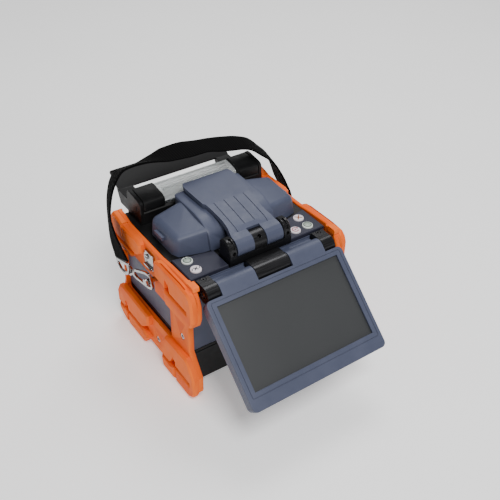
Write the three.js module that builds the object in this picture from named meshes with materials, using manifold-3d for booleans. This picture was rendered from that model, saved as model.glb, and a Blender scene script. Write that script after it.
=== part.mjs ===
// Fiber fusion splicer: a bench-top and field instrument that aligns two optical fibres and welds them with
// an arc. Millimetres, +X to the operator's right, +Y away from the operator, +Z up. The origin is on the
// underside of the base tray's foot pad, at its centre.

import * as THREE from 'three';
import { mergeVertices } from 'three/addons/utils/BufferGeometryUtils.js';
import { ConvexGeometry } from 'three/addons/geometries/ConvexGeometry.js';
import Module from 'manifold-3d';

const wasm = await Module();
wasm.setup();

// ---- Driving dimensions ----
const GAP = 0.3; // clearance between neighbouring pieces

const BODY_HALF_WIDTH = 62;
const BODY_HALF_DEPTH = 51.5;
const BASE_BOTTOM = 2.5; // the base tray's underside, above the ground that the bumpers stand on
const BASE_HEIGHT = 38;
const CASE_TOP = 104;
const WALL = 2.5;
const DECK_TOP = 106;
const KEYPAD_TOP = 108;

const BUMPER_SKIN = 66; // outer face of the bumper's thin frame
const BUMPER_OUTER = 70.8; // outer face of its tread pads
const BUMPER_INNER = 61.3; // inner face of the lips that wrap round the case's front and back

const MONITOR_TILT = THREE.MathUtils.degToRad(41.66); // display plane below the horizontal
const MONITOR_ORIGIN = new THREE.Vector3(0, -76, 98); // middle of the display opening's top edge
const BEZEL_HALF_WIDTH = 61;
const BEZEL_TOP = 5.7;
const BEZEL_BOTTOM = -78;
const DISPLAY_HALF_WIDTH = 54;
const DISPLAY_HEIGHT = 64.8;
const MONITOR_THICKNESS = 12;
const MONITOR_AXIS = { y: -63, z: 100.5 };
const MONITOR_BARREL_RADIUS = 7;
const MONITOR_SHAFT_RADIUS = 2.5;

const COVER_AXIS = { y: -44, z: 115.5 };
const COVER_BARREL_RADIUS = 8.4;
const COVER_PIN_RADIUS = 2;

const HEATER_AXIS = { y: 47, z: 119.4 };
const TRAY_AXIS = { y: 57.6, z: 107 };
const STRAP_AXIS = { y: -9, z: 83 };
const STUD_RADIUS = 2.2;
const STRAP_WIDTH = 22;
const STRAP_THICKNESS = 1.8;

const BUTTON_RADIUS = 4.4;
const FIBRE_HEIGHT = 111; // the fibres' common axis above the base, at Y = FIBRE_Y
const FIBRE_Y = -2;
const CLAMP_AXIS = { y: 5, z: 112.9 };
const HEATER_PIN_RADIUS = 1.3;

// ---- Materials ----
function paint(colour, roughness, metalness = 0) {
  return new THREE.MeshStandardMaterial({ color: colour, roughness, metalness });
}
const slate = () => paint(0x6a6f82, 0.5);
const black = () => paint(0x17171a, 0.55);
const anodised = () => paint(0x1d1d20, 0.38, 0.6);
const orange = () => paint(0xee7a3a, 0.7);
const steel = () => paint(0xb9bbc0, 0.3, 1);
const white = () => paint(0xe9ece8, 0.4);

// ---- Geometry helpers ----
const group = new THREE.Group();

function solid(geometry) {
  const bare = geometry.clone();
  for (const name of Object.keys(bare.attributes)) {
    if (name !== 'position') {
      bare.deleteAttribute(name);
    }
  }
  const merged = mergeVertices(bare, 1e-4);
  return new wasm.Manifold(
    new wasm.Mesh({
      numProp: 3,
      vertProperties: Float32Array.from(merged.attributes.position.array),
      triVerts: Uint32Array.from(merged.index.array),
    }),
  );
}

function toGeometry(shape) {
  const mesh = shape.getMesh();
  const geometry = new THREE.BufferGeometry();
  geometry.setAttribute('position', new THREE.BufferAttribute(Float32Array.from(mesh.vertProperties), 3));
  geometry.setIndex(new THREE.BufferAttribute(Uint32Array.from(mesh.triVerts), 1));
  geometry.computeVertexNormals();
  return geometry;
}

function piece(name, shape, material, parent = group) {
  const mesh = new THREE.Mesh(toGeometry(shape), material);
  mesh.name = name;
  parent.add(mesh);
  return mesh;
}

function join(shapes) {
  return shapes.reduce((sum, shape) => sum.add(shape));
}

function cut(shape, tools) {
  return tools.reduce((rest, tool) => rest.subtract(tool), shape);
}

function box(x0, x1, y0, y1, z0, z1) {
  const geometry = new THREE.BoxGeometry(x1 - x0, y1 - y0, z1 - z0);
  return solid(geometry.translate((x0 + x1) / 2, (y0 + y1) / 2, (z0 + z1) / 2));
}

// A mirror image in the plane X = 0.
function mirrored(shape) {
  const geometry = toGeometry(shape);
  geometry.scale(-1, 1, 1);
  const index = geometry.index.array;
  for (let i = 0; i < index.length; i += 3) {
    [index[i + 1], index[i + 2]] = [index[i + 2], index[i + 1]];
  }
  return solid(geometry);
}

function handed(shape, side) {
  return side < 0 ? shape : mirrored(shape);
}

function outline(points) {
  return new THREE.Shape(points.map(([a, b]) => new THREE.Vector2(a, b)));
}

function roundedOutline(a0, a1, b0, b1, radius, segments = 5) {
  const points = [];
  const corners = [
    [a1 - radius, b1 - radius, 0],
    [a0 + radius, b1 - radius, 90],
    [a0 + radius, b0 + radius, 180],
    [a1 - radius, b0 + radius, 270],
  ];
  for (const [a, b, start] of corners) {
    for (let i = 0; i <= segments; i += 1) {
      const angle = THREE.MathUtils.degToRad(start + (90 * i) / segments);
      points.push([a + radius * Math.cos(angle), b + radius * Math.sin(angle)]);
    }
  }
  return points;
}

function extruded(points, depth, bevel, bevelSegments) {
  return new THREE.ExtrudeGeometry(outline(points), {
    depth: depth - 2 * bevel,
    bevelEnabled: bevel > 0,
    bevelThickness: bevel,
    bevelSize: bevel,
    bevelOffset: -bevel,
    bevelSegments,
    curveSegments: 8,
  }).translate(0, 0, bevel);
}

// An outline in (X, Y), raised from z0 to z1.
function prismZ(points, z0, z1, bevel = 0, bevelSegments = 2) {
  return solid(extruded(points, z1 - z0, bevel, bevelSegments).translate(0, 0, z0));
}

// An outline in (Y, Z), run from x0 to x1.
function prismX(points, x0, x1, bevel = 0, bevelSegments = 1) {
  const geometry = extruded(points, x1 - x0, bevel, bevelSegments);
  const basis = new THREE.Matrix4().makeBasis(
    new THREE.Vector3(0, 1, 0),
    new THREE.Vector3(0, 0, 1),
    new THREE.Vector3(1, 0, 0),
  );
  return solid(geometry.applyMatrix4(basis).translate(x0, 0, 0));
}

// An outline in (X, Z), run from y0 to y1.
function prismY(points, y0, y1, bevel = 0, bevelSegments = 1) {
  const geometry = extruded(points, y1 - y0, bevel, bevelSegments);
  return solid(geometry.rotateX(Math.PI / 2).translate(0, y1, 0));
}

function rodX(radius, x0, x1, y, z, segments = 32) {
  const geometry = new THREE.CylinderGeometry(radius, radius, x1 - x0, segments);
  return solid(geometry.rotateZ(Math.PI / 2).translate((x0 + x1) / 2, y, z));
}

function rodY(radius, y0, y1, x, z, segments = 32) {
  const geometry = new THREE.CylinderGeometry(radius, radius, y1 - y0, segments);
  return solid(geometry.translate(x, (y0 + y1) / 2, z));
}

function rodZ(radius, z0, z1, x, y, segments = 32) {
  const geometry = new THREE.CylinderGeometry(radius, radius, z1 - z0, segments);
  return solid(geometry.rotateX(Math.PI / 2).translate(x, y, (z0 + z1) / 2));
}

function hull(points) {
  return solid(new ConvexGeometry(points.map((p) => new THREE.Vector3(...p))));
}

// ---- Base tray and battery ----
function shellBox(z0, z1, chamfer = 0) {
  const points = roundedOutline(-BODY_HALF_WIDTH, BODY_HALF_WIDTH, -BODY_HALF_DEPTH, BODY_HALF_DEPTH, 3, 3);
  if (!chamfer) {
    return prismZ(points, z0, z1);
  }
  const slab = prismZ(points, z0, z1 + chamfer, chamfer, 1);
  return slab.subtract(box(-80, 80, -80, 80, z1, z1 + 10));
}

const FLOOR = BASE_BOTTOM + WALL;
const BATTERY_BAY = { x: 46.3, z0: FLOOR, z1: 33 };
const trayInside = box(
  -BODY_HALF_WIDTH + WALL,
  BODY_HALF_WIDTH - WALL,
  -BODY_HALF_DEPTH + WALL,
  BODY_HALF_DEPTH - WALL,
  FLOOR,
  BASE_HEIGHT + 1,
);
const seamRing = box(-70, 70, -60, 60, 34.4, 35.2).subtract(
  box(-BODY_HALF_WIDTH + 0.7, BODY_HALF_WIDTH - 0.7, -BODY_HALF_DEPTH + 0.7, BODY_HALF_DEPTH - 0.7, 34, 36),
);
const foot = prismZ(roundedOutline(-35, 35, -25, 25, 4, 3), 0, BASE_BOTTOM + 1);
const baseTray = cut(join([shellBox(BASE_BOTTOM, BASE_HEIGHT - GAP, 2), foot]), [
  trayInside,
  seamRing,
  box(-BATTERY_BAY.x, BATTERY_BAY.x, 40, 60, BATTERY_BAY.z0, BATTERY_BAY.z1),
]);
piece('base_tray', baseTray, black());

const batteryRidges = [];
for (let i = 0; i < 5; i += 1) {
  batteryRidges.push(box(-30, 30, 51.1, 52.3, 11 + 4 * i, 12.6 + 4 * i));
}
const battery = join([
  box(-44, 44, -26, 49, FLOOR + GAP, 31),
  prismY(roundedOutline(-46, 46, FLOOR + GAP, 32.7, 2, 3), 48.9, 51.5),
  ...batteryRidges,
]);
piece('battery_pack', battery, black());

// ---- Main case ----
const caseWindow = box(-58.5, 58.5, -48, 48, 36, CASE_TOP + 1);
const caseLedges = [-1, 1].map((side) => handed(box(-45.6, -15.9, -55.3, -50, 96, 102.6), side));
const mainCase = cut(join([shellBox(BASE_HEIGHT, CASE_TOP), ...caseLedges]), [
  caseWindow,
  box(-34, -14, 45, 60, 60, 72),
  box(4, 14, 45, 60, 60, 70),
  box(20, 34, 45, 60, 60, 66),
]);
piece('main_case', mainCase, slate());

// ---- Deck, keypads and buttons ----
const HINGE_BAY = 27.9; // half width of the black strip between the keypads
const deckOutline = [
  [-61.6, -23.2],
  [-60.9, -23.2],
  [-HINGE_BAY, -30.2],
  [-HINGE_BAY, -51.2],
  [HINGE_BAY, -51.2],
  [HINGE_BAY, -30.2],
  [60.9, -23.2],
  [61.6, -23.2],
  [61.6, 51.2],
  [-61.6, 51.2],
];
const STAGE_HOLE = { x: 40, y0: -17, y1: 14.6 };
const deck = cut(prismZ(deckOutline, CASE_TOP + GAP, DECK_TOP), [
  box(-STAGE_HOLE.x, STAGE_HOLE.x, STAGE_HOLE.y0, STAGE_HOLE.y1, 100, 110),
]);
piece('deck_plate', deck, black());

const KEYPADS = {
  left: { side: -1, buttons: [['power', 51.3, -31.4], ['menu', 51, -43.3]] },
  right: { side: 1, buttons: [['cancel', 50, -32.3], ['confirm', 50, -44], ['reset', 38, -44.2]] },
};
for (const [name, pad] of Object.entries(KEYPADS)) {
  const plan = [
    [-60.6, -51.4],
    [-HINGE_BAY - GAP, -51.4],
    [-HINGE_BAY - GAP, -31],
    [-60.6, -24],
  ];
  let plate = handed(prismZ(plan, CASE_TOP + GAP, KEYPAD_TOP, 0.6, 1), pad.side);
  for (const [, x, y] of pad.buttons) {
    plate = plate.subtract(rodZ(BUTTON_RADIUS + 0.35, 100, 112, pad.side * x, y, 28));
  }
  piece(`keypad_${name}`, plate, slate());
  for (const [label, x, y] of pad.buttons) {
    const cap = solid(
      new THREE.LatheGeometry(
        [
          new THREE.Vector2(0, 105.3),
          new THREE.Vector2(BUTTON_RADIUS, 105.3),
          new THREE.Vector2(BUTTON_RADIUS, 108.3),
          new THREE.Vector2(BUTTON_RADIUS - 0.5, 108.8),
          new THREE.Vector2(0, 108.8),
        ],
        28,
      )
        .rotateX(Math.PI / 2)
        .translate(pad.side * x, y, 0),
    );
    piece(`button_${label}`, cap, white());
  }
}

// ---- Rubber bumpers ----
// Each bumper is a thin frame against the case's side, with thick tread pads at its four corners.
const frameOutline = [
  [-57, 2.4], [46, 2.4], [54, 6], [57.5, 13], [58, 26], [54, 33], [51, 42],
  [51, 78], [55, 88], [57.4, 98], [56.4, 106], [52, 111], [45, 110], [35, 107], [-16, 107], [-30, 108.6],
  [-50, 109.6], [-61, 109], [-65.4, 101.5], [-68.2, 95], [-68.2, 83], [-66, 77], [-62, 74], [-55.2, 73],
  [-55, 42], [-59, 35.5], [-63, 29.5], [-67.2, 23], [-67.2, 9], [-63, 4],
];
const windowOutline = [
  [-28, 33.6], [46, 33.6], [48, 36], [48, 78], [46, 80.6], [-5, 80.6], [-5, 67.4], [-28, 67.4],
];
const pads = [
  // front top: upper and lower tread
  [[-14, 104.2], [-14, 90.2], [-27, 90.2], [-29, 88.9], [-66.6, 88.9], [-68.6, 92], [-68.6, 98.5],
    [-66.2, 104], [-62, 107.2], [-50, 108.2], [-24, 107.8], [-18, 106.8]],
  [[-28, 88.1], [-28, 78], [-30, 73.8], [-61, 73.8], [-65.5, 76.5], [-67.8, 81], [-68.4, 86.9], [-30, 86.9]],
  // front bottom: upper tread and two lower treads
  [[-24, 36.5], [-16, 26], [-16, 12.6], [-30, 12.6], [-36, 16], [-67.2, 14.8], [-67.2, 22.5], [-63.4, 29],
    [-59.6, 34.6], [-55, 37.6]],
  [[-16, 10.6], [-18, 0], [-37, 0], [-37, 13.2], [-31, 10.6]],
  [[-38.6, 13.6], [-38.6, 0], [-60, 0], [-64.6, 3], [-67.2, 8], [-67.2, 12.8]],
  // rear bottom: upper and lower tread
  [[4.5, 35], [4.5, 25], [16, 15.2], [44, 15.2], [59, 14.4], [59.4, 27], [55.5, 34], [49, 37]],
  [[16, 13.2], [6, 10], [13.4, 0], [43, 0], [52, 3], [58, 8], [58.6, 12.6]],
  // rear top: upper and lower tread
  [[7, 105.4], [7, 98], [15, 91], [46, 91], [55.6, 92], [57.6, 99], [56.6, 106], [52.6, 110.6], [45, 109.6],
    [35, 107], [12, 107.4]],
  [[20, 89.2], [25, 83], [48, 83], [52.4, 84.4], [54.6, 89.2]],
];
// The heads that close the front ends of the treads' grooves.
const heads = [
  [[-60.6, 75.2], [-60.6, 106], [-66.2, 103.6], [-68.6, 98.5], [-68.6, 83], [-65.5, 77]],
  [[-60.6, 2], [-60.6, 32], [-63.4, 28.6], [-67.2, 22.5], [-67.2, 8], [-64.6, 3.4]],
];
// Notches that rise from the grooves into the upper treads.
const notches = [
  [[-29.4, 88.5], [-30.8, 99.5], [-36.4, 96.6], [-38, 88.5]],
  [[-29.4, 12], [-35.6, 23.4], [-39.6, 21.4], [-39.6, 12]],
  [[40.2, 12], [40.6, 21], [43.4, 24.6], [46, 22], [46, 12]],
  [[40.6, -1], [40.6, 14], [44, 14], [44, -1]],
];
function bumper() {
  let shape = prismX(frameOutline, -BUMPER_SKIN, -BODY_HALF_WIDTH - GAP, 0.6);
  // the frame wraps a little round the case, in front of it and behind it
  const wrap = prismX(frameOutline, -64.5, -BUMPER_INNER, 0.8);
  const wrapFront = wrap.intersect(box(-80, 0, -80, -52.2, 0, 120));
  const wrapRear = wrap.intersect(box(-80, 0, 52.2, 80, 0, 120));
  shape = join([shape, wrapFront, wrapRear]);
  shape = shape.subtract(prismX(windowOutline, -80, -50));
  for (const tread of [...pads, ...heads]) {
    shape = shape.add(prismX(tread, -BUMPER_OUTER, -BUMPER_SKIN + 1.6, 1.5));
  }
  for (const notch of notches) {
    shape = shape.subtract(prismX(notch, -BUMPER_OUTER - 2, -BUMPER_SKIN - 0.6));
  }
  shape = shape.add(prismX(roundedOutline(-64, -55.5, 106, 110.6, 1.2, 2), -66, -60.6));
  return cut(shape, [
    // a slot across the upper front pad's shoulder, and across the upper rear pad
    prismY([[-69.6, 103], [-69, 103], [-67.6, 112], [-69, 112]], -58, -22),
    box(-72, -64.6, 36, 37.6, 96, 112),
    rodX(3.1, -80, -50, -3.6, 14.2, 20),
    rodX(3.1, -80, -50, -45.2, 51, 20),
    rodX(STUD_RADIUS + GAP, -80, -50, STRAP_AXIS.y, STRAP_AXIS.z, 20),
  ]);
}
const leftBumper = bumper();
piece('bumper_left', leftBumper, orange());
piece('bumper_right', mirrored(leftBumper), orange());

function bumperScrew(y, z, side) {
  const head = rodX(2.6, -BUMPER_SKIN + 0.3, -BODY_HALF_WIDTH - GAP, y, z, 20);
  const socket = rodX(1.3, -70, -64.4, y, z, 6);
  return handed(head.subtract(socket), side);
}
for (const [sideName, side] of [['left', -1], ['right', 1]]) {
  piece(`bumper_screw_${sideName}_lower`, bumperScrew(-3.6, 14.2, side), steel());
  piece(`bumper_screw_${sideName}_front`, bumperScrew(-45.2, 51, side), steel());
}

// ---- Monitor hinge ----
const bore = (x0, x1) => rodX(MONITOR_SHAFT_RADIUS + GAP, x0, x1, MONITOR_AXIS.y, MONITOR_AXIS.z, 24);

function hingeMount(x0, x1, screwX) {
  const barrel = rodX(MONITOR_BARREL_RADIUS, x0, x1, MONITOR_AXIS.y, MONITOR_AXIS.z, 40);
  const arm = prismX(
    [
      [MONITOR_AXIS.y - 1, 101.5],
      [-57.4, 99],
      [-57, 93],
      [-51.8, 88],
      [-51.8, 106],
      [-53.2, 106],
      [-53.2, 107.2],
      [MONITOR_AXIS.y + 1, 107.4],
    ],
    x0,
    x1,
  );
  const room = rodX(MONITOR_BARREL_RADIUS + 1.2, x0 - 1, x1 + 1, MONITOR_AXIS.y, MONITOR_AXIS.z, 40);
  const below = room.intersect(box(x0 - 1, x1 + 1, -80, -50, 80, 101));
  let shape = join([barrel, arm.subtract(below)]);
  shape = shape.subtract(bore(x0 - 1, x1 + 1));
  if (screwX !== null) {
    const socket = rodZ(0.9, 106, 110, screwX, -54.8, 6);
    const screwHead = rodZ(1.8, 104, 107.2, screwX, -54.8, 20).subtract(socket);
    shape = shape.subtract(rodZ(2.3, 105.6, 112, screwX, -54.8, 20)).add(screwHead);
  }
  return shape;
}
const leftMount = hingeMount(-57.2, -46.6, -51.8);
piece('hinge_mount_left', leftMount, anodised());
piece('hinge_mount_right', mirrored(leftMount), anodised());
piece('hinge_mount_centre', hingeMount(-15, 15, null), anodised());

piece('monitor_shaft', rodX(MONITOR_SHAFT_RADIUS, -56.6, 56.6, MONITOR_AXIS.y, MONITOR_AXIS.z, 24), steel());

// ---- Monitor ----
// Its own frame: x to the right, y up along the display, z out of the display's face.
const monitor = new THREE.Group();
monitor.position.copy(MONITOR_ORIGIN);
monitor.rotation.x = MONITOR_TILT;
group.add(monitor);

const axisInMonitor = new THREE.Vector3(0, MONITOR_AXIS.y, MONITOR_AXIS.z)
  .sub(MONITOR_ORIGIN)
  .applyAxisAngle(new THREE.Vector3(1, 0, 0), -MONITOR_TILT);

const bezelOutline = roundedOutline(-BEZEL_HALF_WIDTH, BEZEL_HALF_WIDTH, BEZEL_BOTTOM, BEZEL_TOP, 4);
const bezelPlate = prismZ(bezelOutline, -5.6, 0, 0.7, 2);
const knuckles = [-1, 1].map((side) => {
  const barrel = rodX(MONITOR_BARREL_RADIUS, -46.2, -15.5, axisInMonitor.y, axisInMonitor.z, 40);
  const web = prismX(
    [
      [3, -5.6],
      [6, -5.6],
      [axisInMonitor.y, axisInMonitor.z],
      [axisInMonitor.y, axisInMonitor.z + MONITOR_BARREL_RADIUS],
      [4, -0.1],
      [3, -0.8],
    ],
    -46.2,
    -15.5,
  );
  return handed(join([barrel, web]), side);
});
const openingInset = 3.4;
const grooveOuter = roundedOutline(
  -DISPLAY_HALF_WIDTH - openingInset - 0.5,
  DISPLAY_HALF_WIDTH + openingInset + 0.5,
  -DISPLAY_HEIGHT - openingInset - 0.5,
  openingInset + 0.1,
  1.5,
  3,
);
const grooveInner = roundedOutline(
  -DISPLAY_HALF_WIDTH - openingInset,
  DISPLAY_HALF_WIDTH + openingInset,
  -DISPLAY_HEIGHT - openingInset,
  openingInset - 0.4,
  1.2,
  3,
);
const bezelGroove = prismZ(grooveOuter, -0.5, 1).subtract(prismZ(grooveInner, -1, 2));
const barrelRoom = rodX(MONITOR_BARREL_RADIUS + GAP, -80, 80, axisInMonitor.y, axisInMonitor.z, 40);
const monitorFront = cut(join([bezelPlate.subtract(barrelRoom), ...knuckles]), [
  box(-DISPLAY_HALF_WIDTH, DISPLAY_HALF_WIDTH, -DISPLAY_HEIGHT, 0, -10, 5),
  box(-56.3, 56.3, -DISPLAY_HEIGHT - 2.3, 2.3, -10, -1.5),
  bezelGroove,
  rodX(MONITOR_SHAFT_RADIUS + GAP, -60, 60, axisInMonitor.y, axisInMonitor.z, 24),
]);
piece('monitor_front', monitorFront, slate(), monitor);

const rearOutline = roundedOutline(
  -BEZEL_HALF_WIDTH + 0.4,
  BEZEL_HALF_WIDTH - 0.4,
  BEZEL_BOTTOM + 0.4,
  BEZEL_TOP - 0.6,
  4,
);
const rearBlock = prismZ(rearOutline, -MONITOR_THICKNESS, 0, 2.4, 3);
const monitorRear = cut(rearBlock, [
  box(-70, 70, -90, 20, -5.9, 10),
  box(-55, 55, -72, 1, -10, -5),
  barrelRoom,
]);
piece('monitor_rear', monitorRear, slate(), monitor);
piece(
  'monitor_display',
  box(-56, 56, -DISPLAY_HEIGHT - 2, 2, -4.4, -1.8),
  paint(0x4a4c4c, 0.25),
  monitor,
);

// ---- Wind cover hinge ----
const coverHinge = (() => {
  const { y, z } = COVER_AXIS;
  const block = prismX([[y - 8.8, 106.3], [y + 7, 106.3], [y + 7, 112.5], [y - 8.8, 112.5]], -27.5, 27.5);
  const ear = prismX(
    [
      [y - 8.6, 106.3], [y + 6.4, 106.3], [y + 6.4, 121.5], [y + 3.6, 124.2], [y - 0.6, 125],
      [y - 4.6, 123.6], [y - 7.6, 120.4], [y - 8.8, 116],
    ],
    -27.5,
    -21.2,
    0.7,
  );
  const centre = join([
    rodX(7.8, -5.4, 5.4, y, z, 36),
    box(-5.4, 5.4, y - 7.8, y + 6, 107, z),
  ]);
  let shape = join([block, centre]);
  const trough = rodX(COVER_BARREL_RADIUS + 0.5, 5.4, 21.2, y, z, 40);
  shape = cut(shape, [trough, mirrored(trough)]);
  shape = join([shape, ear, mirrored(ear)]);
  const slot = rodX(11, -25, -22.8, y, z, 32)
    .subtract(rodX(8, -26, -22, y, z, 32))
    .intersect(box(-26, -22, y - 12, y - 0.5, z + 3.6, z + 12));
  const screwHole = rodY(1.5, y - 12, y - 6.6, -24, z + 0.6, 16);
  const capScrew = rodZ(1.6, 3, 12, 0, 0, 16).rotate([45, 0, 0]).translate([0, y, z]);
  return cut(shape, [
    rodX(COVER_PIN_RADIUS + GAP, -26.6, 26.6, y, z, 20),
    slot,
    mirrored(slot),
    screwHole,
    mirrored(screwHole),
    capScrew,
  ]);
})();
piece('cover_hinge_base', coverHinge, anodised());
piece('cover_hinge_pin', rodX(COVER_PIN_RADIUS, -26.2, 26.2, COVER_AXIS.y, COVER_AXIS.z, 20), steel());

// ---- Fibre stage, under the wind cover ----
const stage = cut(
  join([
    box(-38, 38, -15, 14.3, 92, 106.8),
    box(-5, 5, -14.6, -8, 106, 114),
    box(-5, 5, 4, 10.6, 106, 114),
    box(-12.4, -4.6, -4.6, 0.6, 106, 109),
    box(4.6, 12.4, -4.6, 0.6, 106, 109),
  ]),
  [
    rodY(1.4, -30, 30, 0, FIBRE_HEIGHT, 16),
    box(-4.2, 4.2, -7.6, 3.6, 96, 120),
    box(-29, -12.7, -12, 10.2, 104, 120),
    box(12.7, 29, -12, 10.2, 104, 120),
  ],
);
piece('stage_block', stage, anodised());

for (const [sideName, side] of [['left', -1], ['right', 1]]) {
  const block = prismX(
    [
      [-4.4, 109.3], [0.4, 109.3], [0.4, 111.2], [-1.6, 111.2], [FIBRE_Y, 110.8], [-2.4, 111.2],
      [-4.4, 111.2],
    ],
    4.8,
    12.2,
  );
  piece(`vgroove_${sideName}`, handed(mirrored(block), side), white());

  // the sheath clamp: a base with two hinge ears, and a lid that swings up on a pin between them
  const clampBase = cut(
    join([
      box(-27, -13.2, -10, 9, 104.3, 111),
      box(-27, -24.6, 2, 9, 110, 115.2),
      box(-15.6, -13.2, 2, 9, 110, 115.2),
    ]),
    [
      box(-30, -10, FIBRE_Y - 0.5, FIBRE_Y + 0.5, 110.4, 112),
      rodX(0.9, -26.3, -13.9, CLAMP_AXIS.y, CLAMP_AXIS.z, 16),
      rodX(2.5, -24.3, -15.9, CLAMP_AXIS.y, CLAMP_AXIS.z, 24),
    ],
  );
  piece(`sheath_clamp_base_${sideName}`, handed(clampBase, side), anodised());
  const clampLid = join([
    prismX([[-7, 111.3], [4, 111.3], [4, 114.6], [-5.6, 114.6], [-7, 113.4]], -24.2, -16),
    rodX(2.1, -24.2, -16, CLAMP_AXIS.y, CLAMP_AXIS.z, 24),
    rodX(0.6, -26, -14.2, CLAMP_AXIS.y, CLAMP_AXIS.z, 12),
  ]);
  piece(`sheath_clamp_lid_${sideName}`, handed(clampLid, side), anodised());
}

function electrode(tip, end) {
  const step = Math.sign(end - tip);
  const profile = [
    new THREE.Vector2(0, 0),
    new THREE.Vector2(1.1, 3),
    new THREE.Vector2(1.1, Math.abs(end - tip)),
    new THREE.Vector2(0, Math.abs(end - tip)),
  ];
  const pin = solid(new THREE.LatheGeometry(profile, 16));
  return pin.rotate([step < 0 ? 180 : 0, 0, 0]).translate([0, tip, FIBRE_HEIGHT]);
}
piece('electrode_front', electrode(-4.2, -14.9), steel());
piece('electrode_back', electrode(0.2, 12.5), steel());

function objective(y, angle) {
  const barrel = rodZ(1.7, -3.4, 3.4, 0, 0, 24);
  return barrel.rotate([angle, 0, 0]).translate([0, y, 101.5]);
}
const objectivePlate = box(-3.6, 3.6, -7.2, 3.2, 96.3, 99.4);
piece('objective_pair', join([objective(-4.8, -20), objective(0.8, 20), objectivePlate]), anodised());

// ---- Wind cover ----
const lidTop = [
  [COVER_AXIS.y - 8.4, 115.5], [-50, 121.5], [-47.4, 123.3], [-44, 124], [-41, 124.6], [-36.5, 126.6],
  [-22, 129.4], [-8, 131.6], [12, 132.9], [25.4, 133.6], [26.4, 133.2],
];
const lidBottom = [[26.4, 130.4], [-8, 127.6], [-22, 125.4], [-33, 122.6], [-37.6, 119.4], [-38, 115.5]];
const lidPlan = [
  [-20.4, -53.4], [-20.4, -44], [-18.2, -33], [-17.9, -26], [-18.6, -14], [-19.6, -6.4], [-21, -4.6],
  [-21.9, 10], [-22.4, 21], [-20.4, 26.4],
];
const mirroredPlan = (plan) => [...plan, ...[...plan].reverse().map(([x, y]) => [-x, y])];

function grown(points, amount) {
  const centre = [0, -12];
  return points.map(([x, y]) => [x + amount * Math.sign(x - centre[0]), y + (y > 20 ? amount : 0)]);
}

const coverLid = (() => {
  const slab = prismX([...lidTop, ...lidBottom].reverse(), -30, 30);
  const barrel = rodX(COVER_BARREL_RADIUS, -20.4, 20.4, COVER_AXIS.y, COVER_AXIS.z, 40);
  let shape = slab.intersect(prismZ(mirroredPlan(lidPlan), 100, 140)).add(barrel);
  shape = cut(shape, [
    box(-5.7, 5.7, -60, COVER_AXIS.y + 3.7, 100, 135),
    box(-5.7, 5.7, -60, -35.4, 100, COVER_AXIS.z + 1),
    rodX(7.8 + GAP, -5.7, 5.7, COVER_AXIS.y, COVER_AXIS.z, 36),
    rodX(COVER_PIN_RADIUS + GAP, -30, 30, COVER_AXIS.y, COVER_AXIS.z, 20),
  ]);
  for (const x of [-13.3, -4.5, 4.5, 13.3]) {
    const crest = lidTop.filter(([y]) => y >= (Math.abs(x) > 10 ? -41 : -36.5) && y <= -8);
    const floor = crest.map(([y, z]) => [y, z - 0.5]);
    const above = crest.map(([y, z]) => [y, z + 3]).reverse();
    shape = shape.subtract(prismX([...floor, ...above], x - 0.35, x + 0.35));
  }
  return shape;
})();
piece('cover_lid', coverLid, slate());

function ball(x, y, z, radius) {
  const points = [];
  const geometry = new THREE.SphereGeometry(radius, 12, 8).translate(x, y, z);
  const position = geometry.attributes.position;
  for (let i = 0; i < position.count; i += 1) {
    points.push([position.getX(i), position.getY(i), position.getZ(i)]);
  }
  return points;
}

function dome() {
  const r = 6;
  const top = [
    [-48.6, -15.6, 115.6], [-49.4, 11.5, 116.4], [-26, -19.5, 117.6], [-26, 12.6, 121],
  ];
  const foot = [
    [-53.2, -22.4, 106.3], [-56, -16, 106.3], [-56, 13, 106.3], [-53, 18.6, 106.3], [-24, 18.6, 106.3],
    [-24, -28.2, 106.3], [-34, -27.6, 106.3],
  ];
  const corners = top.flatMap(([x, y, z]) => ball(x, y, z, r));
  return hull([...corners, ...foot]).intersect(box(-60, 0, -40, 30, 106.3, 140));
}

const coverShell = (() => {
  const cheek = prismX(
    [
      [-29.4, 106.3], [22, 106.3], [23.6, 128.2], [-6, 127.6], [-14, 126.2], [-21, 123.8], [-26, 120],
      [-29, 113],
    ],
    -30,
    -15,
    2,
    2,
  ).intersect(box(-40, 0, -40, 40, 106.3, 140));
  const half = join([dome(), cheek, box(-57.6, -54, -6, 6, 112.6, 115.6)]);
  const core = prismX(
    [[-29.4, 106.3], [22, 106.3], [23.6, 129.4], [-8, 127], [-22, 124.6], [-28, 121]],
    -17,
    17,
  );
  const solidShell = join([half, mirrored(half), core]);
  const pocket = prismX(
    [[-60, 150], [-60, 113], [-33, 122.3], [-22, 125.1], [-8, 127.3], [26.4, 130.1], [60, 130.1], [60, 150]],
    -40,
    40,
  ).intersect(prismZ(grown(mirroredPlan(lidPlan), GAP), 100, 160));
  const below = box(-20.7, 20.7, -60, -28, 100, 122.4);
  return cut(solidShell, [
    pocket,
    below,
    box(-52.6, 52.6, -16.6, 14.6, 105, 115.5),
    box(-27.6, 27.6, -16.6, 18.4, 105, 123.8),
  ]);
})();
piece('cover_shell', coverShell, slate());

for (const [sideName, side] of [['left', -1], ['right', 1]]) {
  const foot = join([
    rodZ(2.2, 113, 123.5, -8.5, FIBRE_Y, 20),
    box(-11, -6, FIBRE_Y - 2, FIBRE_Y + 2, 111.6, 113.4),
  ]);
  piece(`fibre_clamp_${sideName}`, handed(foot, side), black());
}

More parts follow.
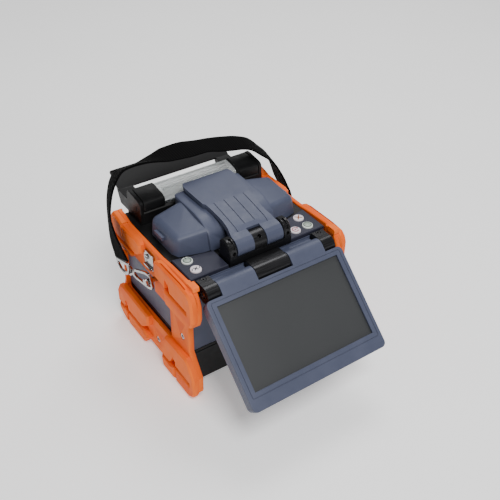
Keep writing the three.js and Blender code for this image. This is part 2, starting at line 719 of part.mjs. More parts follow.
// ---- Tube heater ----
const heaterBase = (() => {
  const body = prismX(
    [[28.4, 106.3], [51.2, 106.3], [51.2, 113.6], [42, 113.6], [40.6, 117.6], [30, 117.6], [28.4, 116]],
    -57,
    57,
  );
  const cheekEnd = prismX(
    [
      [28.4, 106.3], [51.2, 106.3], [51.2, 125.6], [49, 127.8], [46, 128.2], [32, 126.6], [29.4, 125.2],
      [28.4, 123.4],
    ],
    -57,
    -53.7,
    0.5,
  );
  return cut(join([body, cheekEnd, mirrored(cheekEnd)]), [
    box(-33.4, 33.4, 31.6, 39.4, 110, 120),
    box(-70, 70, 35, 36, 115.4, 120),
    rodX(HEATER_PIN_RADIUS + GAP, -55.6, 55.6, HEATER_AXIS.y, HEATER_AXIS.z, 20),
  ]);
})();
piece('heater_base', heaterBase, black());
const heaterPlate = box(-33, 33, 31.9, 39.1, 110.3, 117).subtract(box(-40, 40, 33.2, 37.8, 112, 120));
piece('heater_plate', heaterPlate, paint(0xc4c6c8, 0.35, 1));
piece('heater_pin', rodX(HEATER_PIN_RADIUS, -55.3, 55.3, HEATER_AXIS.y, HEATER_AXIS.z, 20), steel());

const heaterBore = rodX(HEATER_PIN_RADIUS + GAP, -60, 60, HEATER_AXIS.y, HEATER_AXIS.z, 20);
for (const [sideName, side] of [['left', -1], ['right', 1]]) {
  const cap = prismX(
    [
      [28.2, 118], [50.8, 118], [50.8, 125.2], [48.8, 127.6], [46, 128], [32, 126.4], [29.2, 125],
      [28.2, 123.2],
    ],
    -53.4,
    -35,
    0.5,
  ).subtract(heaterBore);
  piece(`heater_cap_${sideName}`, handed(cap, side), black());
}
const heaterWindow = (() => {
  const arch = prismX(
    [
      [32.4, 118.4], [50.6, 118.4], [51.4, 124.4], [49.6, 125.8], [46, 126], [36, 124.2], [33.6, 122.4],
    ],
    -34.6,
    34.6,
  );
  const hollow = prismX([[34.6, 110], [43, 110], [43, 123.2], [37, 122.3]], -32.6, 32.6);
  const ribs = [];
  for (let i = 0; i < 3; i += 1) {
    ribs.push(box(-31, 31, 38.4 + 3.4 * i, 39.6 + 3.4 * i, 124, 125.9 + 0.3 * i));
  }
  return cut(join([arch, ...ribs]), [hollow, heaterBore]);
})();
piece('heater_window', heaterWindow, paint(0xdde2e2, 0.15));

// ---- Folding cooling tray ----
const trayBracket = cut(
  join([
    box(-39.6, 39.6, 51.9, 54.2, 94, 104),
    box(-39.6, -34, 51.9, 61, 98, 111),
    box(34, 39.6, 51.9, 61, 98, 111),
  ]),
  [rodX(1.5 + GAP, -50, 50, TRAY_AXIS.y, TRAY_AXIS.z, 20)],
);
piece('tray_bracket', trayBracket, black());
piece('tray_pin', rodX(1.5, -52.6, 52.6, TRAY_AXIS.y, TRAY_AXIS.z, 20), steel());
const coolingTray = (() => {
  const pitch = THREE.MathUtils.degToRad(35.2);
  const along = (s, n) => [
    74 + s * Math.cos(pitch) + n * Math.sin(pitch),
    113.3 + s * Math.sin(pitch) - n * Math.cos(pitch),
  ];
  const panel = prismX([along(0, 2.2), along(17.8, 2.2), along(17.8, 0), along(0, 0)], -53.4, 53.4);
  const lipOutline = [along(16.6, 0.5), along(17.8, 0.5), along(17.8, -1.4), along(16.6, -1.4)];
  const lipOuter = prismX(lipOutline, -53.4, 53.4);
  const arm = join([
    rodX(5.4, -53.4, -40.4, TRAY_AXIS.y, TRAY_AXIS.z, 32),
    prismX(
      [
        [TRAY_AXIS.y, 101.6], [72.6, 101.6], [77.8, 112.2], along(2, 1), along(0, 0), [TRAY_AXIS.y - 1, 113],
        [TRAY_AXIS.y - 4, 110.6],
      ],
      -53.4,
      -40.4,
    ),
  ]);
  return cut(join([panel, lipOuter, arm, mirrored(arm)]), [
    rodX(1.5 + GAP, -53, 53, TRAY_AXIS.y, TRAY_AXIS.z, 20),
  ]);
})();
piece('cooling_tray', coolingTray, black());

// ---- Rear ports ----
const portPanel = join([
  box(-37, 37, 45.4, 47.7, 56, 76),
  rodY(3.4, 47, 50.4, -24, 66, 24),
  box(4.4, 13.6, 47, 50.4, 60.8, 69.2),
  box(20.6, 33.4, 47, 50.4, 61, 65.6),
]).subtract(rodY(2, 48, 52, -24, 66, 20));
const sockets = [box(6, 12, 48, 52, 62.4, 67.6), box(22, 32, 48, 52, 62, 64.6)];
piece('port_panel', cut(portPanel, sockets), black());

// ---- Carrying strap and its hardware ----
function stripBetween(sections) {
  const corners = [];
  for (const { at, width, normal } of sections) {
    for (const [w, t] of [[-1, -1], [1, -1], [1, 1], [-1, 1]]) {
      const p = at.clone();
      p.addScaledVector(width, (w * STRAP_WIDTH) / 2);
      p.addScaledVector(normal, (t * STRAP_THICKNESS) / 2);
      corners.push(p.x, p.y, p.z);
    }
  }
  const index = [0, 2, 1, 0, 3, 2];
  const last = 4 * (sections.length - 1);
  index.push(last, last + 1, last + 2, last, last + 2, last + 3);
  for (let i = 0; i < sections.length - 1; i += 1) {
    for (let k = 0; k < 4; k += 1) {
      const a = 4 * i + k;
      const b = 4 * i + ((k + 1) % 4);
      index.push(a, b, b + 4, a, b + 4, a + 4);
    }
  }
  const geometry = new THREE.BufferGeometry();
  geometry.setAttribute('position', new THREE.BufferAttribute(Float32Array.from(corners), 3));
  geometry.setIndex(index);
  const made = solid(geometry);
  if (made.volume() > 0) {
    return made;
  }
  for (let i = 0; i < index.length; i += 3) {
    [index[i + 1], index[i + 2]] = [index[i + 2], index[i + 1]];
  }
  geometry.setIndex(index);
  return solid(geometry);
}

// Each row is a point on the webbing's middle line, then the direction across it.
const strapRoute = [
  [[-75, 32, 79], [-0.1, 1, 0]],
  [[-76.5, 36, 91], [0, 1, 0]],
  [[-77.5, 39, 105], [0.2, 0.98, 0]],
  [[-77.5, 41, 120], [0.34, 0.94, 0]],
  [[-76, 40, 134], [0.34, 0.94, -0.1]],
  [[-72.5, 40, 144.5], [0.28, 0.92, -0.25]],
  [[-66, 42, 150.5], [0.1, 0.87, -0.48]],
  [[-57, 43, 151.4], [0, 0.85, -0.53]],
  [[-46, 43, 151.6], [0, 0.88, -0.47]],
  [[-35, 43, 152], [0, 0.97, -0.26]],
  [[-25, 42.4, 152.6], [0, 1, 0]],
  [[-8, 42.4, 152], [0, 0.99, 0.1]],
  [[7, 43.6, 149.8], [0, 1, 0]],
  [[20, 43.6, 147.2], [0.15, 0.98, 0.05]],
  [[31, 42.9, 145.2], [0.3, 0.94, 0.05]],
  [[42.4, 42, 143], [0.38, 0.92, 0]],
  [[51.8, 39.9, 139.8], [0.42, 0.9, -0.05]],
  [[60.1, 37.3, 133], [0.44, 0.87, -0.15]],
  [[66.6, 36.1, 127], [0.4, 0.86, -0.2]],
  [[72.4, 36.4, 120], [0.3, 0.92, -0.14]],
  [[77.8, 36.8, 110.3], [0.2, 0.97, -0.1]],
  [[82, 35.4, 99.3], [0.1, 0.99, -0.06]],
  [[85.4, 32.6, 89.2], [0.1, 0.99, -0.03]],
  [[87.4, 29.4, 79], [0.2, 0.98, 0]],
];
const strap = (() => {
  const curve = new THREE.CatmullRomCurve3(strapRoute.map(([p]) => new THREE.Vector3(...p)));
  const across = new THREE.CatmullRomCurve3(strapRoute.map(([, w]) => new THREE.Vector3(...w)));
  const steps = 66;
  const sections = [];
  for (let i = 0; i <= steps; i += 1) {
    const t = i / steps;
    const tangent = curve.getTangent(t);
    const width = across.getPoint(t);
    width.addScaledVector(tangent, -width.dot(tangent)).normalize();
    const normal = new THREE.Vector3().crossVectors(tangent, width).normalize();
    sections.push({ at: curve.getPoint(t), width, normal });
  }
  return stripBetween(sections);
})();
piece('strap', strap, black());

// A flat outline in the YZ plane: s runs from the stud along the hook, t across it.
function placed(points, angle) {
  const a = THREE.MathUtils.degToRad(angle);
  return points.map(([s, t]) => [
    STRAP_AXIS.y + s * Math.cos(a) - t * Math.sin(a),
    STRAP_AXIS.z + s * Math.sin(a) + t * Math.cos(a),
  ]);
}

// Both hooks hang back and down from their studs; the right one is pulled outward, by its yaw.
const HOOK_X = 72.2;
const HOOK_ANGLE = -20;
const SIDES = { left: { side: -1, yaw: 0 }, right: { side: 1, yaw: 19 } };

function yawed(shape, side, yaw) {
  const x = -HOOK_X;
  const turned = shape.translate([-x, -STRAP_AXIS.y, 0]).rotate([0, 0, yaw]);
  return handed(turned.translate([x, STRAP_AXIS.y, 0]), side);
}
for (const [sideName, { side, yaw }] of Object.entries(SIDES)) {
  const bar = (points, half) => prismX(placed(points, HOOK_ANGLE), -HOOK_X - half, -HOOK_X + half);
  const loop = bar(
    [[-5, -4], [-3, -6.4], [3, -7], [24, -4.4], [31, -2], [31, 2], [24, 4.4], [3, 7], [-3, 6.4], [-5, 4]],
    1.1,
  );
  const inside = bar(
    [
      [-3, -3.4], [-2, -4.4], [3, -4.9], [23, -2.4], [26, -1], [26, 1], [23, 2.4], [3, 4.9], [-2, 4.4],
      [-3, 3.4],
    ],
    3,
  );
  const eye = bar([[30, -1.6], [34, -4], [38, -4], [40, -2], [40, 2], [38, 4], [34, 4], [30, 1.6]], 1.1);
  const eyeHole = bar([[34, -1.6], [38, -1.6], [38, 1.6], [34, 1.6]], 3);
  piece(`snap_hook_${sideName}`, yawed(cut(join([loop, eye]), [inside, eyeHole]), side, yaw), steel());
}
const RING = { x: 74.8, y: 29.6, z: 72, angle: THREE.MathUtils.degToRad(71) };
for (const [sideName, { side, yaw }] of Object.entries(SIDES)) {
  const place = (points) =>
    points.map(([s, t]) => [
      RING.y + s * Math.cos(RING.angle) - t * Math.sin(RING.angle),
      RING.z + s * Math.sin(RING.angle) + t * Math.cos(RING.angle),
    ]);
  const outer = [[6.2, -12], [6.2, 12], [1, 12], [-4, 8], [-6, 3], [-6, -3], [-4, -8], [1, -12]];
  const inner = [
    [3.8, -9.8], [3.8, 9.8], [1.6, 9.8], [-2.4, 6.6], [-3.8, 2.4], [-3.8, -2.4], [-2.4, -6.6], [1.6, -9.8],
  ];
  const band = prismX(place(outer), -RING.x - 1.1, -RING.x + 1.1);
  const ring = band.subtract(prismX(place(inner), -RING.x - 3, -RING.x + 3));
  piece(`d_ring_${sideName}`, yawed(ring, side, yaw), steel());
  const stud = join([
    rodX(STUD_RADIUS, -HOOK_X - 3.4, -BODY_HALF_WIDTH - GAP, STRAP_AXIS.y, STRAP_AXIS.z, 20),
    rodX(2.9, -HOOK_X - 4, -HOOK_X - 2.2, STRAP_AXIS.y, STRAP_AXIS.z, 20),
  ]);
  piece(`strap_stud_${sideName}`, handed(stud, side), steel());
  const plate = join([
    prismX(roundedOutline(-8.6, 5.6, 89, 103, 2, 3), -67.8, -66.3),
    prismX([[-7, 89.6], [4, 89.6], [4, 91.2], [-7, 91.2]], -69.4, -67.4),
  ]);
  const screwHead = rodX(2, -69.2, -67.2, 1, 98, 20).subtract(rodX(0.9, -70, -68.2, 1, 98, 6));
  piece(`strap_plate_${sideName}`, handed(plate.add(screwHead), side), steel());
}

export default group;
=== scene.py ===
import math

import bmesh
import bpy
from mathutils import Matrix, Vector


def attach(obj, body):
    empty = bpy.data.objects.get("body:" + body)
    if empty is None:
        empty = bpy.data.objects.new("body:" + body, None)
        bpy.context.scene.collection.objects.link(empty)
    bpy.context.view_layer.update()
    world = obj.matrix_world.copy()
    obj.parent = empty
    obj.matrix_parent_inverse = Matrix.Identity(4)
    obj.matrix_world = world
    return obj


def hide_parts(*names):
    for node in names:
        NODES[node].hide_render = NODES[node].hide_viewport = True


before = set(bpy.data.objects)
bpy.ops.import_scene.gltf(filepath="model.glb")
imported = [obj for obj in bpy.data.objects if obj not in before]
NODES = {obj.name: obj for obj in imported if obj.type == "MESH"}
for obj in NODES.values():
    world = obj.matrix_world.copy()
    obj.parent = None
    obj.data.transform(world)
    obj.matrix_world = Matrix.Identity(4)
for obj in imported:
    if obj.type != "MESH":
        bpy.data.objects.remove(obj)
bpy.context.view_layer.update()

MM = 0.001

# ---- Driving dimensions, in millimetres unless a line says otherwise ----
# Z is up, +Y is towards the back of the machine and +X to its right.
# Widths of the rounded edges
EDGE = 0.45  # the usual moulded edge
CAP_EDGE = 0.4  # the heater and the cooling tray
CRISP_EDGE = 0.3  # machined blocks, the deck and the buttons
FINE_EDGE = 0.2  # screws, pins and other small turned parts
TINY_EDGE = 0.1  # electrodes and fibre grooves
ROD_EDGE = 0.5  # the bent rod of the hooks and rings
SOFT_EDGE = 1.0  # the rubber bumpers
SHARPEST_ROUNDED = math.radians(32)  # edges that turn by less than this stay as they are
FLAT_WITHIN = math.radians(1)  # neighbouring faces this close to one plane are joined
WELD_DISTANCE = 0.02
STRAP_WIDTH = 22
STRAP_THICKNESS = 1.8
BUTTONS = {
    "power": (-51.3, -31.4),
    "menu": (-51, -43.3),
    "cancel": (50, -32.3),
    "confirm": (50, -44),
    "reset": (38, -44.2),
}
BUTTON_TOP = 108.8
MARK_HEIGHT = 0.12  # how far the signs stand up from the buttons
MARK_SUNK = 0.02
FACE_RADIUS = 3.0
FACE_HEIGHT = 0.06
# The strap's middle line, as in the CAD source, with the direction across the webbing at each point.
STRAP_ROUTE = [
    ((-75, 32, 79), (-0.1, 1, 0)),
    ((-76.5, 36, 91), (0, 1, 0)),
    ((-77.5, 39, 105), (0.2, 0.98, 0)),
    ((-77.5, 41, 120), (0.34, 0.94, 0)),
    ((-76, 40, 134), (0.34, 0.94, -0.1)),
    ((-72.5, 40, 144.5), (0.28, 0.92, -0.25)),
    ((-66, 42, 150.5), (0.1, 0.87, -0.48)),
    ((-57, 43, 151.4), (0, 0.85, -0.53)),
    ((-46, 43, 151.6), (0, 0.88, -0.47)),
    ((-35, 43, 152), (0, 0.97, -0.26)),
    ((-25, 42.4, 152.6), (0, 1, 0)),
    ((-8, 42.4, 152), (0, 0.99, 0.1)),
    ((7, 43.6, 149.8), (0, 1, 0)),
    ((20, 43.6, 147.2), (0.15, 0.98, 0.05)),
    ((31, 42.9, 145.2), (0.3, 0.94, 0.05)),
    ((42.4, 42, 143), (0.38, 0.92, 0)),
    ((51.8, 39.9, 139.8), (0.42, 0.9, -0.05)),
    ((60.1, 37.3, 133), (0.44, 0.87, -0.15)),
    ((66.6, 36.1, 127), (0.4, 0.86, -0.2)),
    ((72.4, 36.4, 120), (0.3, 0.92, -0.14)),
    ((77.8, 36.8, 110.3), (0.2, 0.97, -0.1)),
    ((82, 35.4, 99.3), (0.1, 0.99, -0.06)),
    ((85.4, 32.6, 89.2), (0.1, 0.99, -0.03)),
    ((87.4, 29.4, 79), (0.2, 0.98, 0)),
]

STRAP_STEPS = 260  # sections along the webbing

# Camera: where it stands, how it turns, and its lens
CAMERA_AT = Vector((-257.9, -404.6, 442.9)) * MM
CAMERA_AZIMUTH = math.radians(-35.115)
CAMERA_ELEVATION = math.radians(37.35)
CAMERA_ROLL = math.radians(1.12)
CAMERA_LENS = 53.39
SENSOR_WIDTH = 36

# Studio, with its lengths in metres: soft area lights (name, place, size, watts) aimed at the case
LIGHT_TARGET = (0, 0, 0.07)
LIGHTS = (
    ("key", (-0.15, -0.75, 1.25), 0.5, 17),
    ("top", (0.5, 0.5, 1.2), 0.6, 9),
)
WORLD_STRENGTH = 0.3
FLOOR_HALF_SIZE = 3
FLOOR_DROP = 0.0006  # below the foot, so that the two faces don't flicker
FLOOR_GLOW = 0.35  # keeps the floor pale without more light from above


# ---- Materials ----
def new_material(name):
    """A material with an empty node tree, its Principled shader and its object coordinates."""
    material = bpy.data.materials.new(name)
    material.use_nodes = True
    tree = material.node_tree
    tree.nodes.clear()
    output = tree.nodes.new("ShaderNodeOutputMaterial")
    shader = tree.nodes.new("ShaderNodeBsdfPrincipled")
    tree.links.new(shader.outputs["BSDF"], output.inputs["Surface"])
    place = tree.nodes.new("ShaderNodeTexCoord")
    return material, tree, shader, place.outputs["Object"]


def noise(tree, place, scale, detail=4, roughness=0.55, stretch=None):
    if stretch:
        mapping = tree.nodes.new("ShaderNodeMapping")
        mapping.inputs["Scale"].default_value = stretch
        tree.links.new(place, mapping.inputs["Vector"])
        place = mapping.outputs["Vector"]
    node = tree.nodes.new("ShaderNodeTexNoise")
    node.inputs["Scale"].default_value = scale
    node.inputs["Detail"].default_value = detail
    node.inputs["Roughness"].default_value = roughness
    tree.links.new(place, node.inputs["Vector"])
    return node.outputs["Fac"]


def ramp(tree, factor, stops):
    node = tree.nodes.new("ShaderNodeValToRGB")
    elements = node.color_ramp.elements
    while len(elements) < len(stops):
        elements.new(0.5)
    for element, (position, colour) in zip(elements, stops):
        element.position = position
        element.color = (*colour, 1)
    tree.links.new(factor, node.inputs["Fac"])
    return node.outputs["Color"]


def spread(tree, factor, low, high):
    node = tree.nodes.new("ShaderNodeMapRange")
    node.inputs["From Min"].default_value = 0.3
    node.inputs["From Max"].default_value = 0.7
    node.inputs["To Min"].default_value = low
    node.inputs["To Max"].default_value = high
    tree.links.new(factor, node.inputs["Value"])
    return node.outputs["Result"]


def bump(tree, shader, height, strength, distance, below=None):
    node = tree.nodes.new("ShaderNodeBump")
    node.inputs["Strength"].default_value = strength
    node.inputs["Distance"].default_value = distance
    tree.links.new(height, node.inputs["Height"])
    if below is not None:
        tree.links.new(below, node.inputs["Normal"])
    tree.links.new(node.outputs["Normal"], shader.inputs["Normal"])
    return node.outputs["Normal"]


def painted_edge_highlight(tree, colour, highlight_colour, amount):
    """Mixes a lighter colour in along convex edges: a painted highlight on the rims, standing in for
    light catching them.
    """
    geometry = tree.nodes.new("ShaderNodeNewGeometry")
    edges = tree.nodes.new("ShaderNodeMapRange")
    edges.inputs["From Min"].default_value = 0.53
    edges.inputs["From Max"].default_value = 0.62
    edges.inputs["To Max"].default_value = amount
    tree.links.new(geometry.outputs["Pointiness"], edges.inputs["Value"])
    mix = tree.nodes.new("ShaderNodeMix")
    mix.data_type = "RGBA"
    mix.inputs["B"].default_value = (*highlight_colour, 1)
    tree.links.new(edges.outputs["Result"], mix.inputs["Factor"])
    tree.links.new(colour, mix.inputs["A"])
    return mix.outputs["Result"]


def moulded(name, dark, light, rough, grain, depth, edge_highlight=None, **sockets):
    """Moulded plastic or rubber: a fine spark-eroded grain over slow changes of tone, with an optional
    painted highlight along convex edges.
    """
    material, tree, shader, place = new_material(name)
    patches = 45  # changes of tone per metre
    tone = noise(tree, place, patches, 3)
    colour = ramp(tree, tone, [(0.3, dark), (0.7, light)])
    # an edge colour, when given, is a painted highlight mixed in along the convex edges
    if edge_highlight:
        colour = painted_edge_highlight(tree, colour, edge_highlight, 0.6)
    tree.links.new(colour, shader.inputs["Base Color"])
    fine = noise(tree, place, grain, 2)
    sheen = noise(tree, place, patches * 4)
    tree.links.new(spread(tree, sheen, *rough), shader.inputs["Roughness"])
    bump(tree, shader, fine, depth, 0.00008)
    for socket, value in sockets.items():
        shader.inputs[socket.replace("_", " ")].default_value = value
    return material


def turned(name, dark, light, rough, stretch, metallic=1.0):
    """Metal with fine machining or polishing lines along one direction."""
    material, tree, shader, place = new_material(name)
    lines = noise(tree, place, 300, 3, 0.6, stretch)
    tree.links.new(ramp(tree, lines, [(0.3, dark), (0.7, light)]), shader.inputs["Base Color"])
    tree.links.new(spread(tree, lines, *rough), shader.inputs["Roughness"])
    shader.inputs["Metallic"].default_value = metallic
    bump(tree, shader, lines, 0.08, 0.00005)
    return material


SLATE = moulded(
    "slate_plastic", (0.055, 0.064, 0.105), (0.068, 0.078, 0.124), (0.42, 0.54), 2200, 0.3,
    Specular_IOR_Level=0.35,
)
SLATE_DARK = moulded(
    "slate_keypad", (0.02, 0.021, 0.037), (0.028, 0.029, 0.048), (0.45, 0.56), 2400, 0.3,
    Specular_IOR_Level=0.25,
)
BLACK = moulded(
    "black_plastic", (0.003, 0.003, 0.0034), (0.006, 0.006, 0.0066), (0.45, 0.58), 1800, 0.3,
    Specular_IOR_Level=0.3,
)
RUBBER = moulded(
    "orange_rubber", (0.8, 0.1, 0.004), (0.92, 0.135, 0.007), (0.55, 0.7), 1300, 0.3,
    # the edge colour is a painted highlight on the bumpers' convex rims
    edge_highlight=(1.0, 0.2, 0.02), Specular_IOR_Level=0.2,
)
ANODISED = turned(
    "black_anodised", (0.012, 0.012, 0.013), (0.03, 0.03, 0.033), (0.26, 0.4), (0.15, 6, 6), 0.7,
)
CHROME = turned("polished_hardware", (0.3, 0.3, 0.3), (0.46, 0.46, 0.46), (0.1, 0.22), (1, 1, 1))
STEEL = turned("ground_steel", (0.4, 0.4, 0.42), (0.58, 0.58, 0.6), (0.22, 0.36), (0.2, 5, 5))
ALUMINIUM = turned("bare_aluminium", (0.5, 0.51, 0.53), (0.66, 0.67, 0.69), (0.3, 0.44), (0.2, 5, 5))
CERAMIC = moulded("white_ceramic", (0.72, 0.72, 0.68), (0.82, 0.82, 0.78), (0.15, 0.24), 2600, 0.1)
BUTTON = moulded("button_cap", (0.6, 0.64, 0.61), (0.7, 0.74, 0.7), (0.28, 0.38), 2600, 0.12)
BUTTON_PINK = moulded("button_cap_warm", (0.66, 0.6, 0.64), (0.76, 0.7, 0.74), (0.28, 0.38), 2600, 0.12)
BUTTON_FACE = moulded("button_face", (0.3, 0.36, 0.31), (0.37, 0.43, 0.37), (0.35, 0.45), 2600, 0.12)
INK_GREEN = moulded("ink_green", (0.03, 0.06, 0.04), (0.05, 0.085, 0.06), (0.45, 0.6), 2600, 0.1)
INK_GREY = moulded("ink_grey", (0.035, 0.035, 0.05), (0.06, 0.06, 0.08), (0.45, 0.6), 2600, 0.1)
INK_ORANGE = moulded("ink_orange", (0.3, 0.1, 0.03), (0.4, 0.14, 0.05), (0.45, 0.6), 2600, 0.1)
INK_RED = moulded("ink_red", (0.35, 0.05, 0.08), (0.45, 0.08, 0.11), (0.45, 0.6), 2600, 0.1)


def display_material():
    """Switched-off display: a near-black panel behind a hard anti-glare film with a faint sparkle."""
    material, tree, shader, place = new_material("display_film")
    tone = noise(tree, place, 12, 2)
    tree.links.new(
        ramp(tree, tone, [(0.3, (0.032, 0.034, 0.036)), (0.7, (0.038, 0.04, 0.042))]),
        shader.inputs["Base Color"],
    )
    tree.links.new(spread(tree, noise(tree, place, 2500, 1), 0.3, 0.42), shader.inputs["Roughness"])
    bump(tree, shader, noise(tree, place, 4000, 1), 0.12, 0.00003)
    shader.inputs["Coat Weight"].default_value = 0.25
    shader.inputs["Coat Roughness"].default_value = 0.25
    return material


def window_material():
    """Clear polycarbonate, lightly frosted."""
    material, tree, shader, place = new_material("frosted_window")
    haze = noise(tree, place, 45, 2)
    tree.links.new(
        ramp(tree, haze, [(0.3, (0.72, 0.75, 0.75)), (0.7, (0.86, 0.88, 0.88))]),
        shader.inputs["Base Color"],
    )
    tree.links.new(spread(tree, haze, 0.28, 0.36), shader.inputs["Roughness"])
    shader.inputs["Transmission Weight"].default_value = 0.62
    shader.inputs["IOR"].default_value = 1.3
    bump(tree, shader, noise(tree, place, 900, 1), 0.03, 0.00002)
    return material


def webbing_material():
    """Woven nylon: ribs across the tape and yarns along it, in the tape's own UV."""
    material, tree, shader, place = new_material("woven_webbing")
    uv = tree.nodes.new("ShaderNodeTexCoord").outputs["UV"]
    ribs = tree.nodes.new("ShaderNodeTexWave")
    ribs.wave_type = "BANDS"
    ribs.bands_direction = "X"
    ribs.inputs["Scale"].default_value = 150
    ribs.inputs["Distortion"].default_value = 0.6
    tree.links.new(uv, ribs.inputs["Vector"])
    yarns = tree.nodes.new("ShaderNodeTexWave")
    yarns.wave_type = "BANDS"
    yarns.bands_direction = "Y"
    yarns.inputs["Scale"].default_value = 230
    yarns.inputs["Distortion"].default_value = 0.8
    tree.links.new(uv, yarns.inputs["Vector"])
    weave = tree.nodes.new("ShaderNodeMath")
    weave.operation = "MULTIPLY"
    tree.links.new(ribs.outputs["Fac"], weave.inputs[0])
    tree.links.new(yarns.outputs["Fac"], weave.inputs[1])
    tones = [(0.0, (0.0012, 0.0012, 0.0012)), (1.0, (0.006, 0.006, 0.0065))]
    tree.links.new(ramp(tree, weave.outputs["Value"], tones), shader.inputs["Base Color"])
    shader.inputs["Roughness"].default_value = 0.95
    shader.inputs["Specular IOR Level"].default_value = 0.08
    coarse = bump(tree, shader, weave.outputs["Value"], 0.7, 0.0004)
    bump(tree, shader, noise(tree, place, 3500, 2), 0.3, 0.0001, coarse)
    return material


DISPLAY_FILM = display_material()
WINDOW = window_material()
WEBBING = webbing_material()


# ---- CAD nodes: smooth shading, rounded edges and a material each ----
def smooth_faces(mesh):
    mesh.polygons.foreach_set("use_smooth", [True] * len(mesh.polygons))


def finish_node(name, material, width):
    """Gives a CAD node its material, joins its flat facets and rounds its edges."""
    node = NODES[name]
    mesh = node.data
    if "custom_normal" in mesh.attributes:
        mesh.attributes.remove(mesh.attributes["custom_normal"])
    mesh.materials.clear()
    mesh.materials.append(material)
    smooth_faces(mesh)
    weld = node.modifiers.new("weld", "WELD")
    weld.merge_threshold = WELD_DISTANCE * MM
    plain = node.modifiers.new("plain_faces", "DECIMATE")
    plain.decimate_type = "DISSOLVE"
    plain.angle_limit = FLAT_WITHIN
    edges = node.modifiers.new("edges", "BEVEL")
    edges.width = width * MM
    edges.segments = 2
    edges.limit_method = "ANGLE"
    edges.angle_limit = SHARPEST_ROUNDED
    edges.miter_outer = "MITER_ARC"
    edges.harden_normals = False
    shade = node.modifiers.new("shade", "WEIGHTED_NORMAL")
    shade.keep_sharp = True
    shade.weight = 80


LOOKS = {
    "base_tray": (BLACK, EDGE),
    "battery_pack": (BLACK, EDGE),
    "main_case": (SLATE, EDGE),
    "deck_plate": (BLACK, CRISP_EDGE),
    "keypad_left": (SLATE_DARK, CRISP_EDGE),
    "keypad_right": (SLATE_DARK, CRISP_EDGE),
    "button_power": (BUTTON, CRISP_EDGE),
    "button_menu": (BUTTON_PINK, CRISP_EDGE),
    "button_cancel": (BUTTON_PINK, CRISP_EDGE),
    "button_confirm": (BUTTON, CRISP_EDGE),
    "button_reset": (BUTTON_PINK, CRISP_EDGE),
    "bumper_left": (RUBBER, SOFT_EDGE),
    "bumper_right": (RUBBER, SOFT_EDGE),
    "hinge_mount_left": (ANODISED, CRISP_EDGE),
    "hinge_mount_right": (ANODISED, CRISP_EDGE),
    "hinge_mount_centre": (ANODISED, CRISP_EDGE),
    "monitor_shaft": (STEEL, FINE_EDGE),
    "monitor_front": (SLATE, EDGE),
    "monitor_rear": (SLATE, 0.6),
    "monitor_display": (DISPLAY_FILM, FINE_EDGE),
    "cover_hinge_base": (ANODISED, CRISP_EDGE),
    "cover_hinge_pin": (STEEL, FINE_EDGE),
    "stage_block": (ANODISED, CRISP_EDGE),
    "electrode_front": (STEEL, TINY_EDGE),
    "electrode_back": (STEEL, TINY_EDGE),
    "objective_pair": (ANODISED, 0.15),
    "cover_lid": (SLATE, 0.5),
    "cover_shell": (SLATE, 0.8),
    "heater_base": (BLACK, CAP_EDGE),
    "heater_plate": (ALUMINIUM, FINE_EDGE),
    "heater_pin": (STEEL, FINE_EDGE),
    "heater_cap_left": (BLACK, CAP_EDGE),
    "heater_cap_right": (BLACK, CAP_EDGE),
    "heater_window": (WINDOW, CAP_EDGE),
    "tray_bracket": (BLACK, CAP_EDGE),
    "tray_pin": (STEEL, FINE_EDGE),
    "cooling_tray": (BLACK, CAP_EDGE),
    "port_panel": (BLACK, 0.25),
}
for side in ("left", "right"):
    LOOKS[f"bumper_screw_{side}_lower"] = (CHROME, FINE_EDGE)
    LOOKS[f"bumper_screw_{side}_front"] = (CHROME, FINE_EDGE)
    LOOKS[f"vgroove_{side}"] = (CERAMIC, TINY_EDGE)
    LOOKS[f"sheath_clamp_base_{side}"] = (ANODISED, FINE_EDGE)
    LOOKS[f"sheath_clamp_lid_{side}"] = (ANODISED, FINE_EDGE)
    LOOKS[f"fibre_clamp_{side}"] = (BLACK, FINE_EDGE)
    LOOKS[f"snap_hook_{side}"] = (CHROME, ROD_EDGE)
    LOOKS[f"d_ring_{side}"] = (CHROME, ROD_EDGE)
    LOOKS[f"strap_stud_{side}"] = (CHROME, FINE_EDGE)
    LOOKS[f"strap_plate_{side}"] = (CHROME, FINE_EDGE)
for name, (material, width) in LOOKS.items():
    finish_node(name, material, width)


# ---- New pieces ----
def link(name, data):
    """Puts an object with this data in the scene."""
    made = bpy.data.objects.new(name, data)
    bpy.context.scene.collection.objects.link(made)
    return made


def piece_from(name, build, material, body):
    """Makes a mesh with bmesh code, gives it its material and puts it on its CAD body."""
    mesh = bpy.data.meshes.new(name)
    shape = bmesh.new()
    build(shape)
    bmesh.ops.remove_doubles(shape, verts=shape.verts, dist=1e-7)
    bmesh.ops.recalc_face_normals(shape, faces=shape.faces)
    shape.to_mesh(mesh)
    shape.free()
    mesh.materials.append(material)
    smooth_faces(mesh)
    made = link(name, mesh)
    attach(made, body)


def loop_strip(shape, rings, capped=True):
    """Skins a list of rings of points, in millimetres, with quads."""
    made = [[shape.verts.new(Vector(p) * MM) for p in ring] for ring in rings]
    count = len(made[0])
    for lower, upper in zip(made, made[1:]):
        for i in range(count):
            j = (i + 1) % count
            shape.faces.new((lower[i], lower[j], upper[j], upper[i]))
    if capped:
        shape.faces.new(made[0][::-1])
        shape.faces.new(made[-1])


def arc_band(shape, centre, radius, width, start, end, steps=28):
    """A flat raised band along an arc, on a plane Z = centre.z."""
    rings = []
    for i in range(steps + 1):
        angle = math.radians(start + (end - start) * i / steps)
        out = Vector((math.cos(angle), math.sin(angle), 0))
        low = centre + out * (radius - width / 2)
        high = centre + out * (radius + width / 2)
        rise = Vector((0, 0, MARK_HEIGHT)) * 0.8
        rings.append([low, high, high + rise, low + rise])
    full = abs(end - start) >= 360
    loop_strip(shape, rings, capped=not full)


